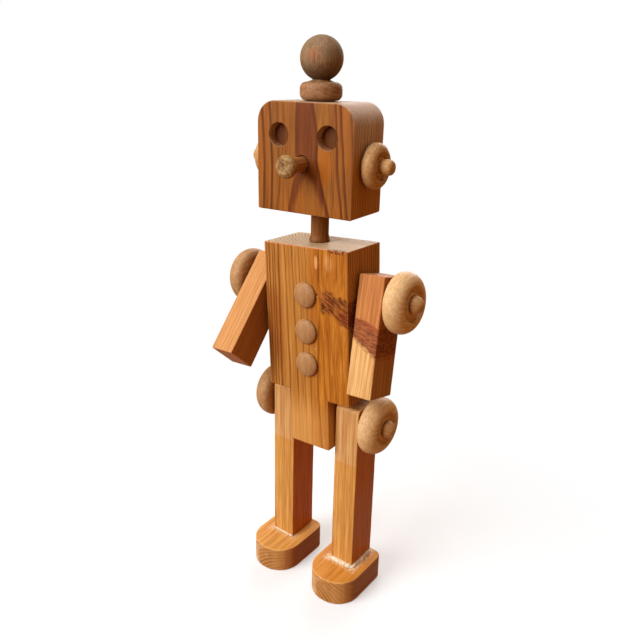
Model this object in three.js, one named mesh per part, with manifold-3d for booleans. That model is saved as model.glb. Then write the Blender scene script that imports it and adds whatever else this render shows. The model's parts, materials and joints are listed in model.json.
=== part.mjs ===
// A hand-made wooden toy robot, about 385 mm tall.
//
// Board blocks make the head, the T-shaped torso, the arms, the legs and the feet. Toy wheels on
// axle pegs cover the shoulder, hip and ear joints. The robot faces -Y and +Z is up, so its own
// left side is at +X. Sizes are in millimetres. The origin is the middle of the object's box, on
// the floor.

import * as THREE from 'three';
import { mergeVertices } from 'three/addons/utils/BufferGeometryUtils.js';
import Module from 'manifold-3d';

const wasm = await Module();
wasm.setup();

// ---------------------------------------------------------------- driving dimensions

const CLEARANCE = 0.3; // play left between any two pieces that touch or turn on each other
const ROUND_SEGMENTS = 24; // sides of a full turned circle
const SMALL_SEGMENTS = 16; // sides of a dowel, a peg or its hole
const ARC_SEGMENTS = 5; // steps in a rounded corner

const BOARD = 38.1; // thickness of the board for the head and the torso
const STICK = { width: 19, depth: 25.4 }; // section of the stick for the arms and the legs

const HIP_HEIGHT = 136; // the two hip pegs lie on one level line, square to the legs

const TORSO = {
  width: 68.9,
  top: 257.1,
  bottom: 113.1,
  tongueWidth: 34.2, // the part that hangs down between the legs
  notchRight: 152.6, // ceiling over the right leg
  notchLeft: 151, // ceiling over the left leg
  lean: -3.2, // degrees; the hip holes are drilled off square, so it leans to its right
};

const HEAD = {
  width: 71,
  bottom: 277.5,
  top: 345.8,
  centreX: -9.6,
  yaw: 4.6, // degrees, turned a little to its left at rest
  topRadius: 13,
  bottomRadius: 1.5,
};

const NECK = { x: -8.2, radius: 6, footRadius: 7, footHeight: 4.5, footZ: 257.6, depth: 15 };

const EYE = { radius: 7.4, depth: 6, height: 325.5, xRight: -18.9, xLeft: 17.1 };

const NOSE = {
  x: -1.2,
  height: 308.8,
  holeRadius: 5.5,
  holeDepth: 13,
  shankRadius: 4.65,
  headRadius: 7.1,
  headLength: 7.4,
  reach: 19.5, // from the face to the tip of the head
};

const ARM = {
  length: 79.6,
  pivotFromTop: 15.5,
  shoulderHeight: 224.6,
  right: { gap: 4.2, forward: 42.3, wheelGap: 1.5 },
  left: { gap: 2.4, forward: 12, wheelGap: 2.5 },
};

const LEG = {
  gap: 1.5,
  top: 12.6, // above the hip peg
  topRadius: 3, // its top edges, which pass under the torso as the leg swings
  wheelGap: 1.8,
};

const FOOT = {
  width: 38.1,
  thickness: 19.7,
  toe: 35.5, // from the leg's middle to the toe
  heel: 15.3,
  toeRadius: 18.4,
  heelRadius: 6.5,
};

const FOOT_DOWEL = { radius: 4, above: 16, below: 13 };

// Wheels: one profile, three sizes. The rim is round, then a dished ring, then a flat hub.
const LIMB_WHEEL = {
  radius: 20,
  width: 13.6,
  rimRound: 6.4,
  dishOuter: 12,
  dishInner: 9.2,
  dishDepth: 3.4,
  hubDrop: 1.4,
  bore: 4.75,
};
const EAR_WHEEL = {
  radius: 14.3,
  width: 8.6,
  rimRound: 4,
  dishOuter: 8.9,
  dishInner: 6.9,
  dishDepth: 2.3,
  hubDrop: 1,
  bore: 3.7,
};
const COLLAR = {
  radius: 13.3,
  width: 10.9,
  rimRound: 4.4,
  hubRadius: 6.2,
  hubRise: 1.1,
};

// Pegs: a straight shank with a mushroom head outside the wheel.
const LIMB_PEG = { radius: 4.4, headRadius: 6.8, headLength: 6.2, headGap: 0.9, depth: 15 };
const EAR_PEG = { radius: 3.4, headRadius: 4.9, headLength: 8.2, headGap: 0.5, depth: 12 };
const EAR = { y: 1.4, height: 309.2, gap: 0.9 };

const BALL = { radius: 13.4, flatRadius: 5.3, height: 370.7 };
const ANTENNA_DOWEL = { radius: 3, inHead: 14, inBall: 12 };

const BUTTON = {
  x: 0.4,
  heights: { top: 224.7, middle: 199.2, bottom: 175.6 },
  radius: 8.8,
  dome: 4.2,
  rim: 1,
  tenonRadius: 5.5,
  tenonLength: 9,
};

const WOOD = {
  pine: { color: 0xb9753f, roughness: 0.55 },
  orange: { color: 0xc07a35, roughness: 0.5 },
  pale: { color: 0xd0a068, roughness: 0.5 },
  birch: { color: 0xcfa878, roughness: 0.42 },
  grey: { color: 0x9c7a5c, roughness: 0.5 },
};

// ---------------------------------------------------------------- solids

// Welds a geometry's corners, drops the slivers that the weld closes, and makes a solid of it.
function solid(geometry) {
  const bare = geometry.clone();
  bare.deleteAttribute('normal');
  bare.deleteAttribute('uv');
  const welded = mergeVertices(bare, 1e-4);
  const corners = welded.index.array;
  const triangles = [];
  for (let i = 0; i < corners.length; i += 3) {
    const [a, b, c] = [corners[i], corners[i + 1], corners[i + 2]];
    if (a !== b && b !== c && c !== a) triangles.push(a, b, c);
  }
  return new wasm.Manifold(
    new wasm.Mesh({
      numProp: 3,
      vertProperties: new Float32Array(welded.attributes.position.array),
      triVerts: new Uint32Array(triangles),
    }),
  );
}

function cut(blank, ...cutters) {
  return cutters.reduce((rest, cutter) => rest.subtract(solid(cutter)), solid(blank));
}

function geometryOf(shape) {
  const mesh = shape.getMesh();
  const geometry = new THREE.BufferGeometry();
  const positions = new THREE.BufferAttribute(new Float32Array(mesh.vertProperties), 3);
  geometry.setAttribute('position', positions);
  geometry.setIndex(new THREE.BufferAttribute(new Uint32Array(mesh.triVerts), 1));
  const flat = geometry.toNonIndexed();
  flat.computeVertexNormals();
  return flat;
}

function piece(name, shape, wood) {
  const mesh = new THREE.Mesh(geometryOf(shape), new THREE.MeshStandardMaterial(wood));
  mesh.name = name;
  return mesh;
}

// ---------------------------------------------------------------- basic geometry

const rad = THREE.MathUtils.degToRad;

// Turns a shape drawn as (x, z) into a board that runs along Y, centred on Y = 0.
function boardAcross(shape, depth) {
  const settings = { depth, bevelEnabled: false, curveSegments: ARC_SEGMENTS };
  return new THREE.ExtrudeGeometry(shape, settings).rotateX(Math.PI / 2).translate(0, depth / 2, 0);
}

// Turns a shape drawn as (y, z) into a stick that runs along X, centred on X = 0.
function stickAcross(shape, width) {
  const settings = { depth: width, bevelEnabled: false, curveSegments: ARC_SEGMENTS };
  const turn = new THREE.Matrix4().makeBasis(
    new THREE.Vector3(0, 1, 0),
    new THREE.Vector3(0, 0, 1),
    new THREE.Vector3(1, 0, 0),
  );
  return new THREE.ExtrudeGeometry(shape, settings).applyMatrix4(turn).translate(-width / 2, 0, 0);
}

// A cylinder along +Z from z = start to z = end.
function rodZ(radius, start, end, segments = SMALL_SEGMENTS) {
  return new THREE.CylinderGeometry(radius, radius, end - start, segments)
    .rotateX(Math.PI / 2)
    .translate(0, 0, (start + end) / 2);
}

// A cylinder along +X from x = start to x = end.
function rodX(radius, start, end, segments = SMALL_SEGMENTS) {
  return rodZ(radius, start, end, segments).rotateY(Math.PI / 2);
}

// A cylinder along +Y from y = start to y = end.
function rodY(radius, start, end, segments = SMALL_SEGMENTS) {
  return rodZ(radius, start, end, segments).rotateX(-Math.PI / 2);
}

// Spins a profile of [radius, height] points about Z.
function turned(profile, segments = ROUND_SEGMENTS) {
  const points = profile.map(([radius, height]) => new THREE.Vector2(radius, height));
  return new THREE.LatheGeometry(points, segments).rotateX(Math.PI / 2);
}

// Lays a piece turned about Z along X, with its top to the given side.
function alongX(geometry, side) {
  return geometry.rotateY((side * Math.PI) / 2);
}

// Points of a quarter circle (or less) round a centre, as [radius, height] pairs.
function arc(centreR, centreH, radius, fromDegrees, toDegrees, steps) {
  return Array.from({ length: steps + 1 }, (_, i) => {
    const angle = rad(fromDegrees + ((toDegrees - fromDegrees) * i) / steps);
    return [centreR + radius * Math.cos(angle), centreH + radius * Math.sin(angle)];
  });
}

// ---------------------------------------------------------------- turned pieces

// A toy wheel with its inner face at height 0 and its dished face at height w.width.
function wheel(w) {
  const shoulder = Math.min(w.rimRound, w.width / 2);
  const rimR = w.radius - shoulder;
  const floor = w.width - w.dishDepth;
  const hub = w.width - w.hubDrop;
  return turned([
    [w.bore, 0],
    ...arc(rimR, shoulder, shoulder, -90, 0, 4),
    ...arc(rimR, w.width - shoulder, shoulder, 0, 90, 4),
    [w.dishOuter, w.width - w.dishDepth / 3],
    [(w.dishOuter + w.dishInner) / 2, floor],
    [w.dishInner, floor],
    [w.dishInner - 1, hub],
    [w.bore, hub],
    [w.bore, 0],
  ]);
}

// A mushroom-headed peg: the shank is below height 0 and the head above it.
function mushroomPeg(peg, shankLength) {
  const edge = peg.headLength * 0.35;
  return turned(
    [
      [0, -shankLength],
      [peg.radius - 0.6, -shankLength],
      [peg.radius, 0.6 - shankLength],
      [peg.radius, 0],
      [peg.headRadius * 0.86, 0],
      [peg.headRadius, edge],
      ...domePoints(peg.headRadius, edge, peg.headLength - edge, 4),
    ],
    SMALL_SEGMENTS,
  );
}

// The curved top of a mushroom: an elliptical arc from its rim to the axis.
function domePoints(radius, base, rise, steps) {
  return Array.from({ length: steps }, (_, i) => {
    const angle = (Math.PI / 2) * ((i + 1) / steps);
    const r = i + 1 === steps ? 0 : radius * Math.cos(angle);
    return [r, base + rise * Math.sin(angle)];
  });
}

function ball() {
  const start = Math.asin(BALL.flatRadius / BALL.radius);
  const steps = 14;
  const points = [[0, -BALL.radius * Math.cos(start)]];
  for (let i = 0; i <= steps; i += 1) {
    const angle = start + ((Math.PI - start) * i) / steps;
    const r = i === steps ? 0 : BALL.radius * Math.sin(angle);
    points.push([r, -BALL.radius * Math.cos(angle)]);
  }
  return turned(points);
}

// The wheel that lies flat on the head, under the ball, with its hub face up.
function collar() {
  const c = COLLAR;
  const rimR = c.radius - c.rimRound;
  return turned([
    [0, 0],
    ...arc(rimR, c.rimRound, c.rimRound, -90, 0, 4),
    ...arc(rimR, c.width - c.rimRound, c.rimRound, 0, 90, 4),
    [c.hubRadius, c.width],
    [c.hubRadius - 1, c.width + c.hubRise],
    [0, c.width + c.hubRise],
  ]);
}

// ---------------------------------------------------------------- the leaning body

const body = new THREE.Group(); // its origin is on the hip line
body.position.set(0, 0, HIP_HEIGHT);
body.rotation.y = rad(TORSO.lean);
body.updateMatrix();
const toBody = body.matrix.clone().invert();

const inBody = (height) => height - HIP_HEIGHT;

function torsoOutline() {
  const half = TORSO.width / 2;
  const tongue = TORSO.tongueWidth / 2;
  const shape = new THREE.Shape();
  shape.moveTo(-tongue, inBody(TORSO.bottom));
  shape.lineTo(tongue, inBody(TORSO.bottom));
  shape.lineTo(tongue, inBody(TORSO.notchLeft));
  shape.lineTo(half, inBody(TORSO.notchLeft));
  shape.lineTo(half, inBody(TORSO.top));
  shape.lineTo(-half, inBody(TORSO.top));
  shape.lineTo(-half, inBody(TORSO.notchRight));
  shape.lineTo(-tongue, inBody(TORSO.notchRight));
  return shape;
}

function torsoHoles() {
  const shoulderZ = inBody(ARM.shoulderHeight);
  const pegRadius = LIMB_PEG.radius + CLEARANCE;
  const half = TORSO.width / 2;
  const shoulders = [-1, 1].map((side) => {
    const inner = half - LIMB_PEG.depth - CLEARANCE;
    return alongX(rodZ(pegRadius, inner, half + 1), side).translate(0, 0, shoulderZ);
  });
  const hips = [-1, 1].map((side) => {
    const inner = TORSO.tongueWidth / 2 - LIMB_PEG.depth - CLEARANCE;
    return alongX(rodZ(pegRadius, inner, TORSO.tongueWidth), side).applyMatrix4(bodyTurn());
  });
  const neck = rodZ(NECK.radius + CLEARANCE, neckBottom() - CLEARANCE, TORSO.top + NECK.depth)
    .translate(NECK.x, 0, 0)
    .applyMatrix4(toBody);
  const face = -BOARD / 2;
  const buttons = Object.values(BUTTON.heights).map((height) =>
    rodY(BUTTON.tenonRadius + CLEARANCE, face - 1, face + BUTTON.tenonLength + CLEARANCE).translate(
      BUTTON.x,
      0,
      inBody(height),
    ),
  );
  return [...shoulders, ...hips, neck, ...buttons];
}

// The turn from the level hip line into the leaning body's own frame.
function bodyTurn() {
  return new THREE.Matrix4().makeRotationY(-body.rotation.y);
}

function neckBottom() {
  return NECK.footZ - NECK.depth;
}

function torsoBlock() {
  return piece('torso_block', cut(boardAcross(torsoOutline(), BOARD), ...torsoHoles()), WOOD.orange);
}

function chestButton(name, height) {
  const profile = [
    [0, -BUTTON.tenonLength],
    [BUTTON.tenonRadius - 0.6, -BUTTON.tenonLength],
    [BUTTON.tenonRadius, 0.6 - BUTTON.tenonLength],
    [BUTTON.tenonRadius, CLEARANCE],
    [BUTTON.radius - 0.3, CLEARANCE],
    [BUTTON.radius, BUTTON.rim],
    ...domePoints(BUTTON.radius, BUTTON.rim, BUTTON.dome - BUTTON.rim, 4),
  ];
  const button = piece(name, solid(turned(profile, SMALL_SEGMENTS)), WOOD.birch);
  button.rotation.x = Math.PI / 2;
  button.position.set(BUTTON.x, -BOARD / 2, inBody(height));
  return button;
}

// ---------------------------------------------------------------- arms and shoulders

// Distances out from the torso's middle, along one shoulder peg.
function shoulderStations(arm) {
  const armInner = TORSO.width / 2 + arm.gap;
  const wheelInner = armInner + STICK.width + arm.wheelGap;
  const headInner = wheelInner + LIMB_WHEEL.width - LIMB_WHEEL.hubDrop + LIMB_PEG.headGap;
  return { armInner, wheelInner, headInner, pegEnd: TORSO.width / 2 - LIMB_PEG.depth };
}

function armStick(name, side, arm) {
  const blank = new THREE.BoxGeometry(STICK.width, STICK.depth, ARM.length);
  blank.translate(0, 0, ARM.pivotFromTop - ARM.length / 2);
  const bore = rodX(LIMB_PEG.radius + CLEARANCE, -STICK.width, STICK.width);
  const mesh = piece(name, cut(blank, bore), side > 0 ? WOOD.pale : WOOD.orange);
  mesh.rotation.x = -rad(arm.forward);
  mesh.position.x = side * (shoulderStations(arm).armInner + STICK.width / 2);
  return mesh;
}

function shoulder(label, side, arm) {
  const at = shoulderStations(arm);
  const group = new THREE.Group();
  group.position.z = inBody(ARM.shoulderHeight);
  const wheelShape = solid(alongX(wheel(LIMB_WHEEL), side));
  const pegShape = solid(alongX(mushroomPeg(LIMB_PEG, at.headInner - at.pegEnd), side));
  const wheelMesh = piece(`shoulder_wheel_${label}`, wheelShape, WOOD.birch);
  const pegMesh = piece(`shoulder_peg_${label}`, pegShape, WOOD.birch);
  wheelMesh.position.x = side * at.wheelInner;
  pegMesh.position.x = side * at.headInner;
  group.add(armStick(`arm_${label}`, side, arm), wheelMesh, pegMesh);
  return group;
}

// ---------------------------------------------------------------- legs, feet and hips

function legStick(name, wood) {
  const half = STICK.depth / 2;
  const round = LEG.topRadius;
  const bottom = FOOT.thickness + CLEARANCE - HIP_HEIGHT;
  const outline = new THREE.Shape();
  outline.moveTo(-half, bottom);
  outline.lineTo(half, bottom);
  outline.absarc(half - round, LEG.top - round, round, 0, 0.5 * Math.PI, false);
  outline.absarc(round - half, LEG.top - round, round, 0.5 * Math.PI, Math.PI, false);
  const bore = rodX(LIMB_PEG.radius + CLEARANCE, -STICK.width, STICK.width);
  const dowelHole = rodZ(
    FOOT_DOWEL.radius + CLEARANCE,
    bottom - 1,
    bottom + FOOT_DOWEL.above + CLEARANCE,
  );
  return piece(name, cut(stickAcross(outline, STICK.width), bore, dowelHole), wood);
}

function footOutline() {
  const half = FOOT.width / 2;
  const toe = FOOT.toeRadius;
  const heel = FOOT.heelRadius;
  const shape = new THREE.Shape();
  shape.moveTo(-half, -FOOT.toe + toe);
  shape.absarc(toe - half, -FOOT.toe + toe, toe, Math.PI, 1.5 * Math.PI, false);
  shape.absarc(half - toe, -FOOT.toe + toe, toe, 1.5 * Math.PI, 2 * Math.PI, false);
  shape.absarc(half - heel, FOOT.heel - heel, heel, 0, 0.5 * Math.PI, false);
  shape.absarc(heel - half, FOOT.heel - heel, heel, 0.5 * Math.PI, Math.PI, false);
  return shape;
}

function foot(name) {
  const settings = { depth: FOOT.thickness, bevelEnabled: false, curveSegments: ARC_SEGMENTS };
  const blank = new THREE.ExtrudeGeometry(footOutline(), settings);
  const hole = rodZ(
    FOOT_DOWEL.radius + CLEARANCE,
    FOOT.thickness - FOOT_DOWEL.below - CLEARANCE,
    FOOT.thickness + 1,
  );
  return piece(name, cut(blank, hole), WOOD.orange);
}

function footDowel(name) {
  const start = FOOT.thickness - FOOT_DOWEL.below;
  const end = FOOT.thickness + CLEARANCE + FOOT_DOWEL.above;
  return piece(name, solid(rodZ(FOOT_DOWEL.radius, start, end)), WOOD.birch);
}

function leg(label, side) {
  const inner = TORSO.tongueWidth / 2 + LEG.gap;
  const wheelInner = inner + STICK.width + LEG.wheelGap;
  const headInner = wheelInner + LIMB_WHEEL.width - LIMB_WHEEL.hubDrop + LIMB_PEG.headGap;
  const pegEnd = TORSO.tongueWidth / 2 - LIMB_PEG.depth;
  const stick = legStick(`leg_${label}`, WOOD.orange);
  const wheelShape = solid(alongX(wheel(LIMB_WHEEL), side));
  const pegShape = solid(alongX(mushroomPeg(LIMB_PEG, headInner - pegEnd), side));
  const wheelMesh = piece(`hip_wheel_${label}`, wheelShape, WOOD.birch);
  const pegMesh = piece(`hip_peg_${label}`, pegShape, WOOD.birch);
  const lower = new THREE.Group();
  lower.position.x = side * (inner + STICK.width / 2);
  stick.position.z = HIP_HEIGHT;
  lower.add(stick, foot(`foot_${label}`), footDowel(`foot_dowel_${label}`));
  wheelMesh.position.set(side * wheelInner, 0, HIP_HEIGHT);
  pegMesh.position.set(side * headInner, 0, HIP_HEIGHT);
  const group = new THREE.Group();
  group.add(lower, wheelMesh, pegMesh);
  return group;
}

// ---------------------------------------------------------------- neck and head

function neckDowel() {
  const profile = [
    [0, neckBottom()],
    [NECK.radius, neckBottom()],
    [NECK.radius, NECK.footZ],
    [NECK.footRadius, NECK.footZ],
    [NECK.footRadius - 0.3, NECK.footZ + 1.2],
    [NECK.radius, NECK.footZ + NECK.footHeight],
    [NECK.radius, HEAD.bottom + NECK.depth],
    [0, HEAD.bottom + NECK.depth],
  ];
  const mesh = piece('neck_dowel', solid(turned(profile, SMALL_SEGMENTS)), WOOD.grey);
  mesh.position.x = NECK.x;
  return mesh;
}

// The head's own frame: its middle in X and Y, heights from the floor, turned by its yaw.
function headGroup() {
  const group = new THREE.Group();
  group.position.x = HEAD.centreX;
  group.rotation.z = rad(HEAD.yaw);
  group.updateMatrix();
  return group;
}

function headOutline() {
  const half = HEAD.width / 2;
  const top = HEAD.topRadius;
  const low = HEAD.bottomRadius;
  const shape = new THREE.Shape();
  shape.absarc(low - half, HEAD.bottom + low, low, Math.PI, 1.5 * Math.PI, false);
  shape.absarc(half - low, HEAD.bottom + low, low, 1.5 * Math.PI, 2 * Math.PI, false);
  shape.absarc(half - top, HEAD.top - top, top, 0, 0.5 * Math.PI, false);
  shape.absarc(top - half, HEAD.top - top, top, 0.5 * Math.PI, Math.PI, false);
  return shape;
}

function headHoles(headMatrix) {
  const face = -BOARD / 2;
  const eyes = [EYE.xRight, EYE.xLeft].map((x) =>
    rodY(EYE.radius, face - 1, face + EYE.depth, ROUND_SEGMENTS).translate(x, 0, EYE.height),
  );
  const nose = rodY(NOSE.holeRadius, face - 1, face + NOSE.holeDepth).translate(
    NOSE.x,
    0,
    NOSE.height,
  );
  const ears = [-1, 1].map((side) => {
    const inner = HEAD.width / 2 - EAR_PEG.depth - CLEARANCE;
    const hole = rodZ(EAR_PEG.radius + CLEARANCE, inner, HEAD.width);
    return alongX(hole, side).translate(0, EAR.y, EAR.height);
  });
  const neck = rodZ(
    NECK.radius + CLEARANCE,
    HEAD.bottom - 1,
    HEAD.bottom + NECK.depth + CLEARANCE,
  )
    .translate(NECK.x, 0, 0)
    .applyMatrix4(headMatrix.clone().invert());
  const antennaFloor = HEAD.top - ANTENNA_DOWEL.inHead - CLEARANCE;
  const antenna = rodZ(ANTENNA_DOWEL.radius + CLEARANCE, antennaFloor, HEAD.top + 1);
  return [...eyes, nose, ...ears, neck, antenna];
}

function nosePeg() {
  const shape = {
    radius: NOSE.shankRadius,
    headRadius: NOSE.headRadius,
    headLength: NOSE.headLength,
  };
  const shank = NOSE.reach - NOSE.headLength + NOSE.holeDepth - CLEARANCE;
  const mesh = piece('nose_peg', solid(mushroomPeg(shape, shank)), WOOD.grey);
  mesh.rotation.x = Math.PI / 2;
  mesh.position.set(NOSE.x, -BOARD / 2 - NOSE.reach + NOSE.headLength, NOSE.height);
  return mesh;
}

function ear(label, side) {
  const wheelInner = HEAD.width / 2 + EAR.gap;
  const headInner = wheelInner + EAR_WHEEL.width - EAR_WHEEL.hubDrop + EAR_PEG.headGap;
  const pegEnd = HEAD.width / 2 - EAR_PEG.depth;
  const wheelShape = solid(alongX(wheel(EAR_WHEEL), side));
  const pegShape = solid(alongX(mushroomPeg(EAR_PEG, headInner - pegEnd), side));
  const wheelMesh = piece(`ear_wheel_${label}`, wheelShape, WOOD.birch);
  const pegMesh = piece(`ear_peg_${label}`, pegShape, WOOD.birch);
  wheelMesh.position.set(side * wheelInner, EAR.y, EAR.height);
  pegMesh.position.set(side * headInner, EAR.y, EAR.height);
  return [wheelMesh, pegMesh];
}

function antenna() {
  const collarZ = HEAD.top + CLEARANCE;
  const hole = rodZ(ANTENNA_DOWEL.radius + CLEARANCE, -1, COLLAR.width + COLLAR.hubRise + 1);
  const collarMesh = piece('antenna_collar', cut(collar(), hole), WOOD.grey);
  collarMesh.position.z = collarZ;
  const ballFloor = -BALL.radius * Math.cos(Math.asin(BALL.flatRadius / BALL.radius));
  const ballHole = rodZ(
    ANTENNA_DOWEL.radius + CLEARANCE,
    ballFloor - 1,
    ballFloor + ANTENNA_DOWEL.inBall + CLEARANCE,
  );
  const ballMesh = piece('antenna_ball', cut(ball(), ballHole), WOOD.grey);
  ballMesh.position.z = BALL.height;
  const start = HEAD.top - ANTENNA_DOWEL.inHead;
  const end = BALL.height + ballFloor + ANTENNA_DOWEL.inBall;
  const dowelMesh = piece('antenna_dowel', solid(rodZ(ANTENNA_DOWEL.radius, start, end)), WOOD.birch);
  return [collarMesh, ballMesh, dowelMesh];
}

function head() {
  const group = headGroup();
  const blank = boardAcross(headOutline(), BOARD);
  group.add(piece('head_block', cut(blank, ...headHoles(group.matrix)), WOOD.pine));
  group.add(nosePeg(), ...ear('right', -1), ...ear('left', 1), ...antenna());
  return group;
}

// ---------------------------------------------------------------- assembly

body.add(torsoBlock());
for (const [label, height] of Object.entries(BUTTON.heights)) {
  body.add(chestButton(`chest_button_${label}`, height));
}
body.add(shoulder('right', -1, ARM.right), shoulder('left', 1, ARM.left));

const robot = new THREE.Group();
robot.add(body, leg('right', -1), leg('left', 1), neckDowel(), head());

// Puts the origin under the middle of the whole object's box.
robot.updateMatrixWorld(true);
const extent = new THREE.Box3().setFromObject(robot, true);
const middle = extent.getCenter(new THREE.Vector3());
robot.position.set(-middle.x, -middle.y, -extent.min.z);
robot.updateMatrixWorld(true);

export default robot;
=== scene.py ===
"""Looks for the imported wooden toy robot, built round its CAD frame.

Sizes are in millimetres, and places are metres where they go to Blender. Each piece is built in a
frame of its own: blocks have their middle at x = y = 0 and their lowest point at z = 0, and turned
pieces have their axis along z. The robot faces -Y, so its own left side is at +X.
"""

import json
import math
from collections import namedtuple

import bmesh
import bpy
from mathutils import Matrix, Vector, noise

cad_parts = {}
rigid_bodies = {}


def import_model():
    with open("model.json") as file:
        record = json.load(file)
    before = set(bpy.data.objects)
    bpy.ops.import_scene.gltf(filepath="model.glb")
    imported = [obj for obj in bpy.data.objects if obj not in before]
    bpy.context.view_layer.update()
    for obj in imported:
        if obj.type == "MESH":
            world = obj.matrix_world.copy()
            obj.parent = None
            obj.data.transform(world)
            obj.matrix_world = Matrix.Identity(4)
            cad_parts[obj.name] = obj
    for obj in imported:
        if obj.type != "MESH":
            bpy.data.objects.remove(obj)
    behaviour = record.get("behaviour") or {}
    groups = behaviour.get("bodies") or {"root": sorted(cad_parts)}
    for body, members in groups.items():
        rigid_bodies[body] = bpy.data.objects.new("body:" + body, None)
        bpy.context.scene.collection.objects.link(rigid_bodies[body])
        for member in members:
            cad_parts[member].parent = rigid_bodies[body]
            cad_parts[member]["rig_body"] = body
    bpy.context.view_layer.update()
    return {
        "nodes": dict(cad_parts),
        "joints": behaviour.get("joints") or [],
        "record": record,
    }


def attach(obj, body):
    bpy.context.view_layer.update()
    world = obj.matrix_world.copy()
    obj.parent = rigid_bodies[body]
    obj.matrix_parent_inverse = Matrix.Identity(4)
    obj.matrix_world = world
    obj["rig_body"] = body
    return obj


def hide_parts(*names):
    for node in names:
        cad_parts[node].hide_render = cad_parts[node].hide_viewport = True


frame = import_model()

MM = 0.001
NODES = frame["nodes"]
JOINTS = {joint["name"]: joint for joint in frame["joints"]}
BODY_OF = {name: node["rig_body"] for name, node in NODES.items()}
SLOT_OF = {part["node"]: part["material_slot"] for part in frame["record"]["subparts"]}

# ---------------------------------------------------------------- camera, light and floor

CAMERA = {
    "look": (1.3, 12.34, 202.31),
    "azimuth": 36.69,
    "elevation": 20.43,
    "roll": 1.37,
    "distance": 458.96,
    "lens": 37.39,
    "sensor": 36,
}


def make_camera():
    azimuth, elevation = math.radians(CAMERA["azimuth"]), math.radians(CAMERA["elevation"])
    roll = math.radians(CAMERA["roll"])
    back = Vector(
        (
            math.sin(azimuth) * math.cos(elevation),
            -math.cos(azimuth) * math.cos(elevation),
            math.sin(elevation),
        )
    )
    level = Vector((math.cos(azimuth), math.sin(azimuth), 0))
    upward = back.cross(level)
    right = level * math.cos(roll) + upward * math.sin(roll)
    up = upward * math.cos(roll) - level * math.sin(roll)
    data = bpy.data.cameras.new("camera")
    data.lens = CAMERA["lens"]
    data.sensor_width = CAMERA["sensor"]
    data.clip_start, data.clip_end = 0.01, 20
    camera = bpy.data.objects.new("camera", data)
    place = (Vector(CAMERA["look"]) + back * CAMERA["distance"]) * MM
    turn = Matrix((right, up, back)).transposed().to_4x4()
    camera.matrix_world = Matrix.Translation(place) @ turn
    bpy.context.scene.collection.objects.link(camera)
    bpy.context.scene.camera = camera


def area_light(name, place, target, size, watts, color):
    data = bpy.data.lights.new(name, "AREA")
    data.shape = "DISK"
    data.size = size
    data.energy = watts
    data.color = color
    light = bpy.data.objects.new(name, data)
    turn = (Vector(target) - Vector(place)).to_track_quat("-Z", "Y")
    light.matrix_world = Matrix.Translation(place) @ turn.to_matrix().to_4x4()
    bpy.context.scene.collection.objects.link(light)


def make_light():
    middle = (0, 0, 0.2)
    area_light("key", (-0.65, -1.5, 1.05), middle, 1.5, 41, (1, 1, 1))
    area_light("top", (-0.1, -0.1, 1.8), middle, 1.6, 15, (0.94, 1, 1.08))
    area_light("back", (-0.5, 1.6, 0.9), middle, 1.5, 20, (1, 0.99, 0.97))
    bpy.context.scene.view_settings.view_transform = "Standard"


def make_world():
    """White behind the robot, and a dim warm room round it for everything but the camera."""
    world = bpy.data.worlds.new("studio")
    bpy.context.scene.world = world
    world.use_nodes = True
    nodes, links = world.node_tree.nodes, world.node_tree.links
    coordinates = nodes.new("ShaderNodeTexCoord")
    parts = nodes.new("ShaderNodeSeparateXYZ")
    links.new(coordinates.outputs["Generated"], parts.inputs[0])
    room = nodes.new("ShaderNodeValToRGB")
    room.color_ramp.elements[0].color = (0.36, 0.145, 0.035, 1)
    room.color_ramp.elements[1].color = (0.27, 0.165, 0.08, 1)
    links.new(parts.outputs["Z"], room.inputs[0])
    around = nodes["Background"]
    links.new(room.outputs[0], around.inputs["Color"])
    seen = nodes.new("ShaderNodeBackground")
    seen.inputs["Color"].default_value = (1, 1, 1, 1)
    path = nodes.new("ShaderNodeLightPath")
    mix = nodes.new("ShaderNodeMixShader")
    links.new(path.outputs["Is Camera Ray"], mix.inputs[0])
    links.new(around.outputs[0], mix.inputs[1])
    links.new(seen.outputs[0], mix.inputs[2])
    links.new(mix.outputs[0], nodes["World Output"].inputs["Surface"])


FLOOR = {"radius": 700, "sides": 96, "solid": 60, "gone": 330, "cover": 0.62}


def make_floor():
    """A pale round floor that fades into the white round it."""
    bm = bmesh.new()
    bmesh.ops.create_circle(
        bm, cap_ends=True, radius=FLOOR["radius"] * MM, segments=FLOOR["sides"]
    )
    mesh = bpy.data.meshes.new("floor")
    bm.to_mesh(mesh)
    bm.free()
    floor = bpy.data.objects.new("floor", mesh)
    bpy.context.scene.collection.objects.link(floor)
    g = Graph("pale_floor")
    reach = (g.x * g.x + g.y * g.y).power(0.5)
    speck = g.noise(0.4, 0.4, 0.4, detail=3)
    g.color(g.mix(speck, (0.9, 0.93, 0.96), (0.94, 0.97, 1.0)))
    g.set("Roughness", 0.9)
    g.set("Specular IOR Level", 0.1)
    g.set("Alpha", reach.smooth(FLOOR["gone"], FLOOR["solid"]) * FLOOR["cover"])
    mesh.materials.append(g.material)
    floor.visible_diffuse = False


# ---------------------------------------------------------------- writing node materials


def tone(red, green, blue):
    """A display colour, 0 to 255 each, as the linear colour that a shader takes."""
    shares = [c / 255 for c in (red, green, blue)]
    return tuple(s / 12.92 if s < 0.04045 else ((s + 0.055) / 1.055) ** 2.4 for s in shares)


def adds(operation, swapped=False):
    """A method that adds one math node, with its own value as the first input or the last."""

    def method(value, *others):
        inputs = (*others, value) if swapped else (value, *others)
        return value.graph.math(operation, *inputs)

    return method


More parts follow.
